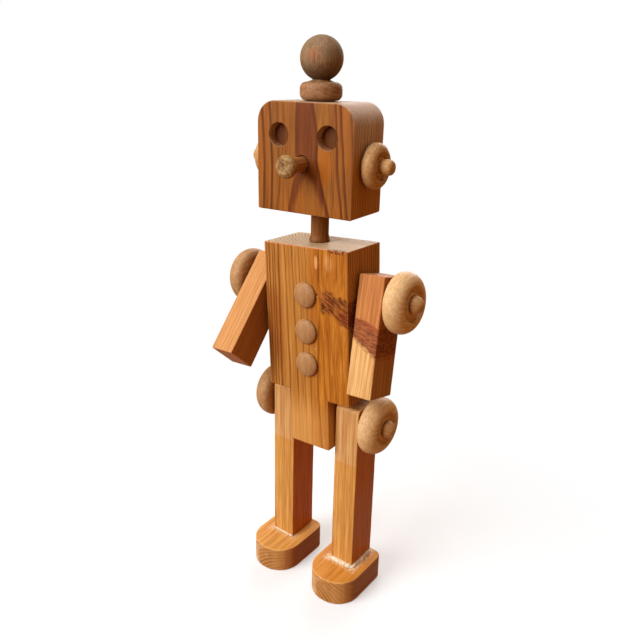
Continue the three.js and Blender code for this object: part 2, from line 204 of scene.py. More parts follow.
class Value:
    """A node's output. Arithmetic on it adds math nodes."""

    def __init__(self, graph, socket):
        self.graph = graph
        self.socket = socket

    __add__ = __radd__ = adds("ADD")
    __sub__ = adds("SUBTRACT")
    __rsub__ = adds("SUBTRACT", swapped=True)
    __mul__ = __rmul__ = adds("MULTIPLY")
    __truediv__ = adds("DIVIDE")
    power = adds("POWER")
    fraction = adds("FRACT")
    whole = adds("FLOOR")
    size = adds("ABSOLUTE")
    least = adds("MINIMUM")
    most = adds("MAXIMUM")

    def smooth(self, start, end):
        """0 at start and before it, 1 at end and after it, smooth between. start may be above end."""
        node = self.graph.node("ShaderNodeMapRange", interpolation_type="SMOOTHSTEP")
        self.graph.feed(node, "Value", self)
        self.graph.feed(node, "From Min", start)
        self.graph.feed(node, "From Max", end)
        return Value(self.graph, node.outputs["Result"])

    def band(self, low, high, soft):
        """1 between low and high, 0 outside, with soft edges."""
        return (self - low).smooth(-soft, soft) * (self - high).smooth(soft, -soft)


class Graph:
    """One material's node tree. x, y and z are the place in the piece's frame, in millimetres."""

    def __init__(self, name):
        self.material = bpy.data.materials.new(name)
        self.material.use_nodes = True
        self.tree = self.material.node_tree
        self.shader = self.tree.nodes["Principled BSDF"]
        coordinates = self.node("ShaderNodeTexCoord")
        scaled = self.node("ShaderNodeVectorMath", operation="SCALE")
        scaled.inputs["Scale"].default_value = 1 / MM
        self.tree.links.new(coordinates.outputs["Object"], scaled.inputs[0])
        self.x, self.y, self.z = self.split(scaled.outputs["Vector"])
        self.facing = self.split(coordinates.outputs["Normal"])

    def node(self, kind, **settings):
        made = self.tree.nodes.new(kind)
        for key, value in settings.items():
            setattr(made, key, value)
        return made

    def feed(self, node, key, value):
        if isinstance(value, Value):
            self.tree.links.new(value.socket, node.inputs[key])
        else:
            node.inputs[key].default_value = value

    def split(self, socket):
        node = self.node("ShaderNodeSeparateXYZ")
        self.tree.links.new(socket, node.inputs[0])
        return [Value(self, output) for output in node.outputs]

    def math(self, operation, *inputs):
        node = self.node("ShaderNodeMath", operation=operation)
        for i, value in enumerate(inputs):
            self.feed(node, i, value)
        return Value(self, node.outputs[0])

    def vector(self, x, y, z):
        node = self.node("ShaderNodeCombineXYZ")
        for i, value in enumerate((x, y, z)):
            self.feed(node, i, value)
        return Value(self, node.outputs[0])

    def noise(self, fx, fy, fz, detail=2, shift=0, rough=0.5):
        """Noise from about 0 to 1, with its frequency per millimetre along each direction."""
        place = (self.x * fx + shift, self.y * fy + shift, self.z * fz - shift)
        return self.noise_at(place, detail, rough)

    def noise_at(self, place, detail=2, rough=0.5):
        node = self.node("ShaderNodeTexNoise")
        self.feed(node, "Vector", self.vector(*place))
        node.inputs["Scale"].default_value = 1
        node.inputs["Detail"].default_value = detail
        node.inputs["Roughness"].default_value = rough
        return Value(self, node.outputs[0])

    def streaks(self, slope, shift):
        """Streaks across the front, which rise by slope for each millimetre to the right."""
        length = math.hypot(1, slope)
        along = (self.x + self.z * slope) / length
        across = (self.z - self.x * slope) / length
        return self.noise_at((along * 0.14 + shift, self.y * 0.3, across * 0.95), 3, 0.6)

    def chance(self, value):
        """A random number from 0 to 1 for each whole number."""
        node = self.node("ShaderNodeTexWhiteNoise", noise_dimensions="1D")
        self.feed(node, "W", value)
        return Value(self, node.outputs["Value"])

    def near(self, x, y, z, rx, ry, rz):
        """How near the place is to a point, 1 at the point and 0 outside the ellipsoid."""
        dx, dy, dz = (self.x - x) / rx, (self.y - y) / ry, (self.z - z) / rz
        return (1 - (dx * dx + dy * dy + dz * dz).power(0.5)).most(0)

    def curve(self, value, points, low, high):
        """A smooth curve through (input, output) points, with outputs from low to high."""
        start, end = points[0][0], points[-1][0]
        node = self.node("ShaderNodeFloatCurve")
        line = node.mapping.curves[0]
        shares = [((i - start) / (end - start), (o - low) / (high - low)) for i, o in points]
        line.points[0].location, line.points[1].location = shares[0], shares[-1]
        for share in shares[1:-1]:
            line.points.new(*share)
        node.mapping.update()
        self.feed(node, "Value", (value - start) / (end - start))
        return Value(self, node.outputs[0]) * (high - low) + low

    def beside(self, path):
        """How far the place is to the right of a line given as (height, x) points."""
        return self.x - self.curve(self.z, path, -40, 40)

    def mix(self, factor, first, second):
        node = self.node("ShaderNodeMix", data_type="RGBA")
        self.feed(node, 0, factor)
        for key, value in ((6, first), (7, second)):
            self.feed(node, key, value if isinstance(value, Value) else (*value[:3], 1))
        return Value(self, node.outputs[2])

    def set(self, name, value):
        self.feed(self.shader, name, value)

    def color(self, value):
        self.set("Base Color", value)

    def bump(self, height, depth=0.1, strength=1.0):
        """Raises the surface by height (0 to 1) times depth in millimetres."""
        node = self.node("ShaderNodeBump")
        node.inputs["Strength"].default_value = strength
        node.inputs["Distance"].default_value = depth * MM
        self.feed(node, "Height", height)
        self.set("Normal", Value(self, node.outputs[0]))


# ---------------------------------------------------------------- wood


class Wood(Graph):
    """A material with growth rings round a pith line, and fibres along z."""

    def grow(self, pith, spacing, warp=0.8, shift=0, extra=0):
        """Sets `late`, dark latewood from 0 to 1, from the distance to the pith at (x, y)."""
        wave = self.noise(0.05, 0.05, 0.012, shift=shift) - 0.5
        ripple = self.noise(0.25, 0.25, 0.03, shift=shift + 7) - 0.5
        dx, dy = self.x - pith[0], self.y - pith[1]
        distance = (dx * dx + dy * dy).power(0.5) + extra
        turns = (distance + wave * (2.4 * warp) + ripple * (0.5 * warp)) / spacing + 100
        part = turns.fraction()
        weight = self.chance(turns.whole()) * 0.55 + 0.45
        self.late = part.smooth(0.3, 0.86) * part.smooth(1.0, 0.93) * weight
        return self.late

    def fibres(self, dark, pale):
        """Sets `fibre`, fine streaks along z from 0 to 1, and the wood's own two colours."""
        fine = self.noise(2.2, 2.2, 0.05, detail=3, shift=3)
        broad = self.noise(0.5, 0.5, 0.02, detail=2, shift=11)
        self.fibre = (fine * 0.6 + broad * 0.4).smooth(0.3, 0.7)
        self.base = self.grain(dark, pale)

    def grain(self, dark, pale):
        """Two colours in streaks along the fibres."""
        return self.mix(self.fibre, tone(*dark), tone(*pale))

    def paint(self, amount, color):
        """Mixes another colour, or a value with colours, into the wood."""
        color = color if isinstance(color, Value) else tone(*color)
        self.base = self.mix(amount, self.base, color)

    def end_grain(self):
        """1 on faces that look along the fibres."""
        return self.facing[2].size().smooth(0.6, 0.85)

    def side(self):
        """1 on faces that look along x, where the woods paint shade."""
        return self.facing[0].size().smooth(0.6, 0.85)

    def front(self):
        """1 on the front face."""
        return self.facing[1].smooth(-0.6, -0.85)

    def edge(self):
        """1 on rounded edges, which catch dirt and wear."""
        largest = self.facing[0].size().most(self.facing[1].size()).most(self.facing[2].size())
        return largest.smooth(0.985, 0.88)

    def veins(self, paths):
        """Dark lines of latewood: (half width, strength, path of (height, x) points) each.

        Each is sharp on the side away from the middle and fades towards the middle.
        """
        wobble = (self.noise(0.3, 0.3, 0.07, detail=3, shift=5) - 0.5) * 0.9
        total = 0
        for width, strength, path in paths:
            outward = 1 if path[0][1] > 0 else -1
            away = (self.beside(path) + wobble) * outward
            line = away.smooth(-3.2 * width, -0.1 * width) * away.smooth(width + 0.2, width * 0.5)
            line = line * strength
            total = line if total == 0 else total.most(line)
        breaks = self.noise(0.6, 0.6, 0.05, detail=3, shift=15) * 0.7 + 0.6
        return (total * breaks).least(1)

    def finish(self, roughness=0.5, grain_depth=0.12):
        """A thin satin varnish over the wood."""
        self.color(self.base)
        self.set("Roughness", self.fibre * 0.2 + (roughness - 0.1))
        self.set("Specular IOR Level", 0.16)
        self.set("Coat Weight", 0.03)
        self.set("Coat Roughness", 0.35)
        self.bump(self.fibre - self.late * 0.5, depth=grain_depth, strength=0.6)
        return self.material


FACE = -19  # the front faces of the head and the torso

HEAD_VEINS = (
    (0.75, 0.95, ((0, -31.0), (12, -30.5), (35, -30.3), (58, -31.5), (68, -32.5))),
    (0.7, 0.95, ((0, -25.0), (10, -24.3), (25, -24.0), (40, -24.5), (55, -25.3), (68, -26.2))),
    (0.6, 0.6, ((0, -20.5), (5, -19.6), (20, -18.0), (40, -19.0), (68, -20.2))),
    (0.5, 0.55, ((0, -11.0), (5, -10.4), (18, -7.4), (28, -5.6), (40, -6.1), (68, -5.6))),
    (0.8, 0.9, ((0, 19.8), (5, 18.2), (15, 15.0), (25, 12.2), (35, 9.8), (45, 10.0), (68, 6.2))),
    (0.6, 0.95, ((0, 29.2), (15, 27.0), (30, 25.0), (45, 24.0), (55, 23.5), (68, 22.4))),
    (0.75, 0.95, ((0, 33.2), (10, 31.6), (25, 30.0), (40, 28.5), (52, 27.3), (68, 25.8))),
    (0.6, 0.6, ((0, 36.5), (25, 35.6), (45, 34.8), (60, 33.4), (68, 32.8))),
    (0.3, 0.35, ((0, -28.0), (35, -27.4), (68, -29.0))),
    (0.3, 0.3, ((0, -15.6), (30, -13.4), (68, -15.0))),
    (0.3, 0.3, ((0, 24.4), (30, 20.6), (68, 18.0))),
)
BAND_LEFT = (
    (0, -11.0), (5, -10.5), (18, -7.5), (28, -5.2),
    (40, -6.0), (50, -6.4), (60, -6.4), (68, -5.4),
)
BAND_RIGHT = (
    (0, 19.8), (5, 18.2), (15, 15.2), (25, 12.6), (35, 10.8),
    (42, 10.4), (50, 9.2), (60, 7.2), (68, 5.8),
)
GOLD_LEFT = ((0, -7.6), (5, -6.4), (12, -3.4), (20, -0.5), (26, 2.4), (30, 3.6), (68, 4.5))
GOLD_RIGHT = ((0, 17.6), (5, 15.6), (12, 11.8), (20, 7.6), (26, 5.0), (30, 3.8), (68, 4.4))


def head_fir():
    """Brown in front with a dark band between the eyes, and golden on the sides, paler and greyer
    above as painted light from above.
    """
    g = Wood("head_fir")
    late = g.grow(pith=(2.0, 52.0), spacing=1.85, warp=0.7, shift=1, extra=g.z * -0.024)
    g.fibres((120, 68, 18), (160, 106, 40))
    front = g.front()
    hue = g.noise(0.09, 0.09, 0.02, detail=3, shift=27).smooth(0.35, 0.7)
    g.paint(hue * 0.5, (166, 94, 26))
    cheek = g.grain((160, 100, 30), (204, 142, 54))
    # Painted light from above: the head's sides and top turn pale grey higher up.
    cheek = g.mix(g.z.smooth(28, 60) * 0.85, cheek, g.grain((184, 162, 140), (216, 198, 178)))
    g.paint(1 - front, cheek)
    g.paint(late * (1 - front) * 0.75 + late * front * 0.25, (96, 46, 12))
    g.paint(head_band(g) * front * 0.8, g.grain((84, 32, 9), (118, 56, 16)))
    amber = g.near(15.5, FACE, 31, 7, 30, 16).smooth(0, 0.5) * front
    g.paint(amber * 0.6, (172, 98, 18))
    g.paint(g.veins(HEAD_VEINS) * front * 0.85, (76, 30, 6))
    g.paint(g.end_grain() * 0.6, (150, 112, 78))
    g.paint(g.edge() * 0.3, (180, 128, 84))
    # Painted shade in the eye and nose holes: their floors, behind the front face, are much darker.
    pit = g.y.smooth(FACE + 0.8, FACE + 2.5) * front
    g.paint(pit * 0.8, g.grain((58, 22, 1), (96, 46, 4)))
    return g.finish()


def head_band(g):
    """1 in the dark band down the face, 0 beside it and in the golden middle of its lower part."""
    wobble = (g.noise(0.4, 0.4, 0.05, detail=3, shift=21) - 0.5) * 1.6
    inside = (g.beside(BAND_LEFT) + wobble).smooth(-0.7, 0.7)
    inside = inside * (g.beside(BAND_RIGHT) + wobble).smooth(0.7, -0.7)
    golden = (g.beside(GOLD_LEFT) + wobble).smooth(-2.6, 2.2)
    golden = golden * (g.beside(GOLD_RIGHT) + wobble).smooth(2.2, -2.6) * g.z.smooth(30, 22)
    return inside * (1 - golden)


TORSO_VEINS = (
    (0.45, 0.8, ((0, -33.0), (60, -32.6), (144, -32.2))),
    (0.4, 0.9, ((0, -31.0), (60, -30.9), (100, -30.4), (144, -30.2))),
    (0.4, 0.8, ((0, -28.9), (60, -28.5), (100, -27.6), (144, -27.4))),
    (0.4, 0.8, ((0, -26.8), (60, -26.2), (100, -25.8), (144, -25.5))),
    (0.55, 0.95, ((0, -23.6), (60, -23.2), (100, -22.6), (144, -22.0))),
    (0.35, 0.7, ((0, -16.6), (60, -15.8), (100, -16.2), (144, -16.4))),
    (0.3, 0.3, ((0, -13.0), (60, -12.6), (144, -13.2))),
    (0.4, 0.75, ((0, -8.6), (60, -8.9), (100, -9.8), (144, -10.4))),
    (0.3, 0.3, ((0, -5.8), (60, -6.2), (144, -7.4))),
    (0.35, 0.7, ((0, -2.2), (60, -2.6), (100, -4.0), (144, -4.6))),
    (0.35, 0.7, ((0, 3.0), (60, 2.6), (100, 1.4), (144, 1.0))),
    (0.6, 0.8, ((0, 11.6), (35, 9.6), (50, 8.8), (58, 9.4), (144, 12.0))),
    (0.5, 0.5, ((0, 16.0), (40, 15.0), (70, 14.4), (100, 13.2), (144, 15.5))),
    (0.5, 0.5, ((0, 20.6), (40, 19.4), (80, 18.7), (100, 17.2), (144, 21.0))),
    (0.5, 0.5, ((0, 25.4), (40, 24.6), (70, 23.0), (96, 24.4), (144, 26.6))),
    (0.4, 0.4, ((0, 31.6), (60, 30.0), (90, 29.0), (144, 31.8))),
)


def torso_fir():
    g = Wood("torso_fir")
    knot_bend = g.near(36, -12, 107, 24, 26, 24)
    late = g.grow(pith=(17.0, 47.0), spacing=2.25, warp=0.8, shift=4, extra=knot_bend * 7.0)
    g.fibres((158, 102, 40), (200, 142, 68))
    front = g.front()
    right = g.x.smooth(-2, 10) * front
    g.paint(right * 0.85, g.grain((154, 84, 14), (194, 126, 36)))
    g.paint(late * (1 - front) * 0.8 + late * front * 0.16, (112, 56, 18))
    flame = g.noise(0.33, 0.2, 0.035, detail=4, shift=37, rough=0.6)
    g.paint(flame.smooth(0.52, 0.68) * right * 0.55, (146, 72, 14))
    g.paint(flame.smooth(0.45, 0.32) * right * 0.45, (212, 146, 58))
    # Painted shade from the robot's right arm, in a redder tone: the front is darker where x is below
    # -15, between z 52 and 122.
    red = g.x.smooth(-15, -26) * g.z.smooth(52, 74) * g.z.smooth(122, 104) * front
    g.paint(red * 0.5, (140, 66, 18))
    broken = 1 - g.near(22, FACE, 107, 22, 30, 24).smooth(0.1, 0.5)
    veins = g.veins(TORSO_VEINS) * front * broken
    g.paint(veins * 0.9, (98, 46, 10))
    # Painted highlights: two small pale spots near the top of the front.
    highlight_spots = g.near(9.5, FACE, 134.5, 1.6, 9, 5.5).smooth(0, 0.4)
    highlight_spots = highlight_spots.most(g.near(19.5, FACE, 135, 4.2, 9, 8).smooth(0.1, 0.6) * g.fibre)
    g.paint(highlight_spots * front * 0.7, (226, 172, 118))
    paint_knot(g)
    # Paler towards the bottom, below z 42: partly paler wood, partly painted light from below.
    g.paint(g.z.smooth(42, 18) * (1 - right * 0.5) * 0.5, (224, 168, 96))
    top = g.facing[2].smooth(0.6, 0.85)
    g.paint(top * 0.8, g.mix(late, tone(220, 198, 162), tone(158, 130, 98)))
    g.paint(g.edge() * 0.25, (216, 156, 96))
    g.paint(g.edge() * g.z.smooth(140, 143) * 0.5, (196, 104, 62))
    splinters = g.near(26.5, FACE, 143.8, 9, 4, 2.6).smooth(0, 0.3)
    splinters = splinters * g.noise(0.7, 0.7, 0.7, detail=3, shift=41).smooth(0.42, 0.56)
    g.paint(splinters * 0.85, (96, 36, 16))
    g.late = late.most(veins)
    return g.finish()


def paint_knot(g):
    """The reddish swirl round the knot, from beside the top button to the robot's left edge."""
    ragged = (g.noise(0.35, 0.35, 0.35, detail=4, shift=53) - 0.5) * 9
    above = g.z - (114.0 - g.x * 0.6) + ragged
    below = (121.5 - g.x * 0.3) - g.z + ragged
    swirl = above.smooth(-1.5, 1.5) * below.smooth(-1.5, 1.5) * g.x.smooth(10, 14)
    swirl = swirl * g.y.smooth(2, -12)
    strokes = g.streaks(-0.55, 57).smooth(0.42, 0.56)
    g.paint(swirl * 0.6, g.grain((122, 58, 22), (158, 92, 48)))
    g.paint(swirl * strokes * 0.8, (74, 26, 8))
    hot = g.near(32, FACE, 100, 12, 12, 8).smooth(0.1, 0.7)
    g.paint(hot * 0.55, (112, 40, 12))
    scar = g.near(14.5, FACE, 104, 2.6, 12, 5).smooth(0, 0.5)
    g.paint(scar * 0.75, (78, 32, 8))


def arm_right_fir():
    g = Wood("arm_right_fir")
    late = g.grow(pith=(70.0, 30.0), spacing=2.3, warp=0.8, shift=61)
    g.fibres((176, 122, 66), (210, 156, 98))
    g.paint(late * 0.35, (166, 94, 42))
    # Painted shade: the side faces are darker.
    g.paint(g.side() * 0.5, (134, 72, 24))
    g.paint(g.end_grain() * 0.6, (150, 84, 40))
    g.paint(g.edge() * 0.35, (232, 160, 110))
    return g.finish()


HEART_TOP = ((-9.5, 51.0), (-2, 50.2), (4, 48.4), (9.5, 46.2))
HEART_BOTTOM = ((-9.5, 39.2), (-4, 36.2), (4, 31.4), (9.5, 27.6))


def arm_left_pine():
    g = Wood("arm_left_pine")
    late = g.grow(pith=(-40.0, 34.0), spacing=2.4, warp=0.9, shift=71, extra=g.z * -0.03)
    g.fibres((196, 144, 80), (236, 196, 132))
    above = g.z - g.curve(g.x, HEART_TOP, 20, 60)
    g.paint(above.smooth(-6, -1) * 0.85, g.grain((154, 82, 28), (196, 124, 60)))
    g.paint(late * 0.5, (150, 88, 36))
    ragged = (g.noise(0.45, 0.45, 0.45, detail=4, shift=81) - 0.5) * 3.4
    below = g.z - g.curve(g.x, HEART_BOTTOM, 20, 60) + ragged
    heart = above.smooth(0.8, -0.8) * below.smooth(-0.8, 0.8)
    streaks = g.streaks(-0.2, 83).smooth(0.38, 0.62)
    g.paint(heart * 0.92, g.mix(streaks, tone(98, 38, 14), tone(156, 80, 40)))
    rim = below.band(-2.2, 0.4, 0.8) * ragged.smooth(-1.2, 1.2)
    g.paint(rim * 0.7, (120, 62, 26))
    # Painted shade: the side faces are darker, outside the dark band.
    g.paint(g.side() * (1 - heart) * 0.6, (140, 70, 20))
    g.paint(g.end_grain() * 0.5, (168, 104, 52))
    return g.finish()


def leg_fir():
    g = Wood("leg_fir")
    late = g.grow(pith=(-16.0, 60.0), spacing=1.7, warp=0.6, shift=91)
    g.fibres((182, 120, 46), (222, 172, 98))
    g.paint(g.z.smooth(84, 86.5) * 0.75, g.grain((186, 138, 86), (222, 182, 128)))
    g.paint(late * 0.55, (148, 82, 22))
    # Painted shade: the side faces are darker and more orange.
    g.paint(g.side() * 0.8, g.grain((168, 80, 6), (208, 122, 22)))
    g.paint(g.edge() * 0.3, (240, 186, 118))
    return g.finish()


def foot_fir(name, glue_amount, varnish, out):
    """Fibres run from heel to toe. Smeared glue surrounds the leg, most of it in front."""
    g = Wood(name)
    across, along, height = g.x, g.y, g.z
    top = g.facing[2].smooth(0.6, 0.85)
    g.z, g.y = along, height
    g.facing[2], g.facing[1] = g.facing[1], g.facing[2]
    late = g.grow(pith=(-16.0 * out, -12.0), spacing=2.8, warp=0.9, shift=101)
    g.fibres((196, 132, 58), (236, 188, 112))
    g.paint(late * 0.5, (150, 84, 30))
    g.paint(top * varnish, g.grain((184, 104, 18), (220, 146, 48)))
    toe = g.mix(late, tone(172, 118, 66), tone(108, 60, 24))
    g.paint(g.end_grain() * 0.7, toe)
    worn = g.noise(0.16, 0.16, 0.16, detail=3, shift=121).smooth(0.48, 0.66)
    worn = worn * (1 - top) * along.smooth(-8, -16) * across.smooth(8, -4)
    g.paint(worn * 0.75, (204, 172, 134))
    # Painted shade: the side faces are darker.
    g.paint(g.side() * 0.7, (132, 60, 12))
    g.paint(g.edge() * 0.3, (238, 184, 116))
    beyond = (across.size() - 9.5).most((along - 10.1).size() - 12.7)
    seen = (across * out).smooth(-9, -2).most(along.smooth(4, -2))
    crust = g.noise(0.9, 0.9, 0.9, detail=4, shift=131, rough=0.7).smooth(0.42, 0.54)
    film = beyond.smooth(6.5, 0.5) * crust * seen * top * glue_amount
    g.paint(film, (236, 220, 192))
    return g.finish()


def turned_wood(name, pale, dark, streak=0.4, roughness=0.45, lengthwise=False):
    """Close-grained birch with its fibres across the piece, or along its axis if lengthwise."""
    g = Wood(name)
    if not lengthwise:
        g.z, g.y = g.y, g.z
        g.facing[2], g.facing[1] = g.facing[1], g.facing[2]
    g.grow(pith=(30.0, 40.0), spacing=2.2, warp=1.2, shift=len(name))
    g.fibres(dark, pale)
    g.paint(g.late * streak, dark)
    blotch = g.noise(0.12, 0.12, 0.08, detail=3, shift=111).smooth(0.35, 0.75)
    g.paint(blotch * 0.3, dark)
    return g.finish(roughness=roughness, grain_depth=0.06)


def ball_wood():
    """Unvarnished, greyed wood with upright grain, and painted shade below."""
    g = Wood("ball_birch")
    g.grow(pith=(80.0, 60.0), spacing=1.5, warp=1.0, shift=141)
    g.fibres((102, 74, 46), (166, 134, 102))
    g.paint(g.late * 0.3, (104, 70, 42))
    grey = g.noise(0.14, 0.14, 0.1, detail=4, shift=143).smooth(0.42, 0.62)
    g.paint(grey * 0.6, (124, 110, 82))
    rusty = g.near(1, -12, 14, 8, 8, 6).smooth(0.1, 0.8)
    g.paint(rusty * 0.45, (156, 92, 50))
    # Painted shade: the ball is darker towards its bottom.
    g.paint(g.z.smooth(12, 2) * 0.65, (66, 42, 30))
    return g.finish(roughness=0.68, grain_depth=0.1)


def nose_wood(length):
    """A worn peg: brown along the shank, grey and cracked at its flat end."""
    g = Wood("nose_birch")
    g.grow(pith=(9.0, 12.0), spacing=1.6, warp=0.8, shift=151)
    g.fibres((140, 84, 36), (190, 132, 72))
    g.paint(g.late * 0.5, (100, 56, 22))
    tip = g.z.smooth(length - 4.5, length - 1)
    mottle = g.noise(0.5, 0.5, 0.5, detail=4, shift=153)
    grey = g.mix(mottle.smooth(0.3, 0.7), tone(116, 88, 50), tone(172, 146, 100))
    g.paint(tip * 0.85, grey)
    crack = (g.x + g.y * 0.8 + (mottle - 0.5) * 3.2).size().smooth(0.8, 0.2)
    crack = crack * g.z.smooth(length - 1.2, length - 0.6)
    g.paint(crack * 0.7, (84, 56, 30))
    return g.finish(roughness=0.6, grain_depth=0.15)


def glue():
    g = Graph("dried_glue")
    lump = g.noise(0.6, 0.6, 0.6, detail=3)
    g.color(g.mix(lump, tone(212, 184, 146), tone(250, 242, 226)))
    g.set("Roughness", 0.35)
    g.set("Subsurface Weight", 0.25)
    g.set("Subsurface Scale", 2 * MM)
    g.bump(lump, depth=0.4)
    return g.material


MATERIALS = {
    "head_fir": head_fir(),
    "torso_fir": torso_fir(),
    "arm_right_fir": arm_right_fir(),
    "arm_left_pine": arm_left_pine(),
    "leg_fir": leg_fir(),
    "foot_fir": foot_fir("foot_fir", 0.35, 0.25, -1),
    "wheel_birch": turned_wood("wheel_birch", (236, 205, 158), (196, 152, 98)),
    "peg_birch": turned_wood("peg_birch", (212, 172, 118), (164, 118, 68), lengthwise=True),
    "button_birch": turned_wood("button_birch", (188, 146, 100), (150, 108, 68)),
    "ball_birch": ball_wood(),
    "neck_birch": turned_wood("neck_birch", (144, 94, 46), (106, 62, 22), lengthwise=True),
}
COLLAR_WOOD = turned_wood("collar_birch", (176, 136, 98), (128, 88, 56), 0.5, 0.6)
# A darker copy of the wheel wood, as painted shade on the robot's right wheels.
SHADED_WHEEL_WOOD = turned_wood("wheel_birch_right", (198, 160, 116), (160, 118, 76))
EAR_WOOD = turned_wood("ear_birch", (212, 176, 126), (166, 120, 68))
GLUED_FOOT_WOOD = foot_fir("foot_fir_glued", 0.95, 0.7, 1)
GLUE = glue()

# ---------------------------------------------------------------- where each piece goes

Spot = namedtuple("Spot", "matrix size")


def upright(across):
    """Axes with x along `across` and z as near to straight up as that allows."""
    x = Vector(across).normalized()
    z = (Vector((0, 0, 1)) - x * x.z).normalized()
    return Matrix((x, z.cross(x), z)).transposed()


def turned_to(axes, direction, top):
    """Axes with z along `direction` and x along `top`, both given in `axes`."""
    z, x = axes @ Vector(direction), axes @ Vector(top)
    return Matrix((x, z.cross(x), z)).transposed()


def seat(node, axes):
    """The node's own frame with those axes: its middle at x = y = 0, its lowest point at z = 0."""
    places = [axes.transposed() @ vertex.co / MM for vertex in NODES[node].data.vertices]
    low = Vector([min(place[i] for place in places) for i in range(3)])
    high = Vector([max(place[i] for place in places) for i in range(3)])
    origin = Vector(((low.x + high.x) / 2, (low.y + high.y) / 2, low.z))
    matrix = Matrix.Translation(axes @ origin * MM) @ axes.to_4x4()
    return Spot(matrix, high - low)


def places_in(node, spot):
    inverse = spot.matrix.inverted()
    return [inverse @ vertex.co / MM for vertex in NODES[node].data.vertices]


def swung(axes, joint):
    """Axes of an arm, which hangs straight down in the middle of its joint's range."""
    forward = -sum(JOINTS[joint]["range_deg"]) / 2
    return axes @ Matrix.Rotation(math.radians(-forward), 3, "X")


LEVEL = upright((1, 0, 0))
LEAN = upright([-c for c in JOINTS["left_arm_swing"]["axis"]])
TURN = upright([-c for c in JOINTS["left_ear_wheel_spin"]["axis"]])
OUT = {"left": (1, 0, 0), "right": (-1, 0, 0)}
UP = (0, 0, 1)
FRONT = (0, -1, 0)


def all_spots():
    spots = {
        "torso_block": seat("torso_block", LEAN),
        "head_block": seat("head_block", TURN),
        "neck_dowel": seat("neck_dowel", LEVEL),
        "nose_peg": seat("nose_peg", turned_to(TURN, FRONT, (1, 0, 0))),
    }
    for node in ("antenna_collar", "antenna_ball", "antenna_dowel"):
        spots[node] = seat(node, TURN)
    for height in ("top", "middle", "bottom"):
        node = f"chest_button_{height}"
        spots[node] = seat(node, turned_to(LEAN, FRONT, (1, 0, 0)))
    for side, out in OUT.items():
        spots[f"arm_{side}"] = seat(f"arm_{side}", swung(LEAN, f"{side}_arm_swing"))
        for node in (f"leg_{side}", f"foot_{side}", f"foot_dowel_{side}"):
            spots[node] = seat(node, LEVEL)
        for place, axes in (("shoulder", LEAN), ("hip", LEVEL), ("ear", TURN)):
            for kind in ("wheel", "peg"):
                node = f"{place}_{kind}_{side}"
                spots[node] = seat(node, turned_to(axes, out, UP))
    return spots


SPOTS = all_spots()

# ---------------------------------------------------------------- basic shapes

CLEARANCE = 0.3
EDGE = 0.9
CHAMFER = 0.6
WEAR = {"step": 4.0, "depth": 0.22}
SHARP = math.radians(35)
ROUND_SIDES = 96
HOLE_SIDES = 64


def arc(centre, radius, start, end, steps):
    """Points of an arc round centre, from start to end degrees."""
    angles = [math.radians(start + (end - start) * i / steps) for i in range(steps + 1)]
    return [
        (centre[0] + radius * math.cos(a), centre[1] + radius * math.sin(a)) for a in angles
    ]


def through(points, steps=5):
    """A smooth line through the points (Catmull-Rom)."""
    ends = [points[0], *points, points[-1]]
    line = []
    for a, b, c, d in zip(ends, ends[1:], ends[2:], ends[3:]):
        for i in range(steps):
            t = i / steps
            line.append(
                tuple(
                    b[k]
                    + 0.5 * t * (c[k] - a[k])
                    + t * t * (a[k] - 2.5 * b[k] + 2 * c[k] - 0.5 * d[k])
                    + t * t * t * (1.5 * (b[k] - c[k]) + 0.5 * (d[k] - a[k]))
                    for k in (0, 1)
                )
            )
    return [*line, points[-1]]


def plate(outline, axis, low, high):
    """A board with a flat outline in the other two axes, from low to high along `axis`."""
    bm = bmesh.new()

    def corner(point, level):
        place = list(point)
        place.insert(axis, level)
        return bm.verts.new(place)

    near = [corner(point, low) for point in outline]
    far = [corner(point, high) for point in outline]
    bm.faces.new(near)
    bm.faces.new(far[::-1])
    for i in range(len(outline)):
        j = (i + 1) % len(outline)
        bm.faces.new((near[i], far[i], far[j], near[j]))
    bmesh.ops.recalc_face_normals(bm, faces=bm.faces)
    return bm


def soften(bm, width=EDGE):
    """Rounds every sharp edge, as sanding does."""
    sharp = [edge for edge in bm.edges if edge.calc_face_angle(0) > SHARP]
    bmesh.ops.bevel(
        bm,
        geom=sharp,
        offset=width,
        offset_type="OFFSET",
        segments=3,
        profile=0.5,
        affect="EDGES",
        clamp_overlap=True,
    )
    return bm


def slice_and_wear(bm, seed):
    """Cuts the block across every few millimetres and presses its surface in a little, unevenly."""
    step, depth = WEAR["step"], WEAR["depth"]
    low = Vector([min(v.co[i] for v in bm.verts) for i in range(3)])
    high = Vector([max(v.co[i] for v in bm.verts) for i in range(3)])
    for axis in (0, 2):
        normal = Vector([float(i == axis) for i in range(3)])
        count = int((high[axis] - low[axis]) / step)
        for i in range(1, count):
            level = low[axis] + (high[axis] - low[axis]) * i / count
            everything = bm.verts[:] + bm.edges[:] + bm.faces[:]
            bmesh.ops.bisect_plane(bm, geom=everything, plane_co=normal * level, plane_no=normal)
    bm.normal_update()
    moves = []
    for vert in bm.verts:
        place = vert.co / 9 + Vector((seed * 7.3, 0, 0))
        press = (noise.noise(place) * 0.6 + noise.noise(place * 4) * 0.4 + 0.75) * depth / 2
        moves.append((vert, vert.normal * -max(press, 0)))
    for vert, move in moves:
        vert.co += move
    return bm


def join(bm, lower, upper, sides):
    """Faces between two rings of corners. A ring may be a single point."""
    for i in range(sides):
        j = (i + 1) % sides
        corners = [lower[i % len(lower)], lower[j % len(lower)]]
        corners += [upper[j % len(upper)], upper[i % len(upper)]]
        face = list(dict.fromkeys(corners))
        if len(face) > 2:
            bm.faces.new(face)


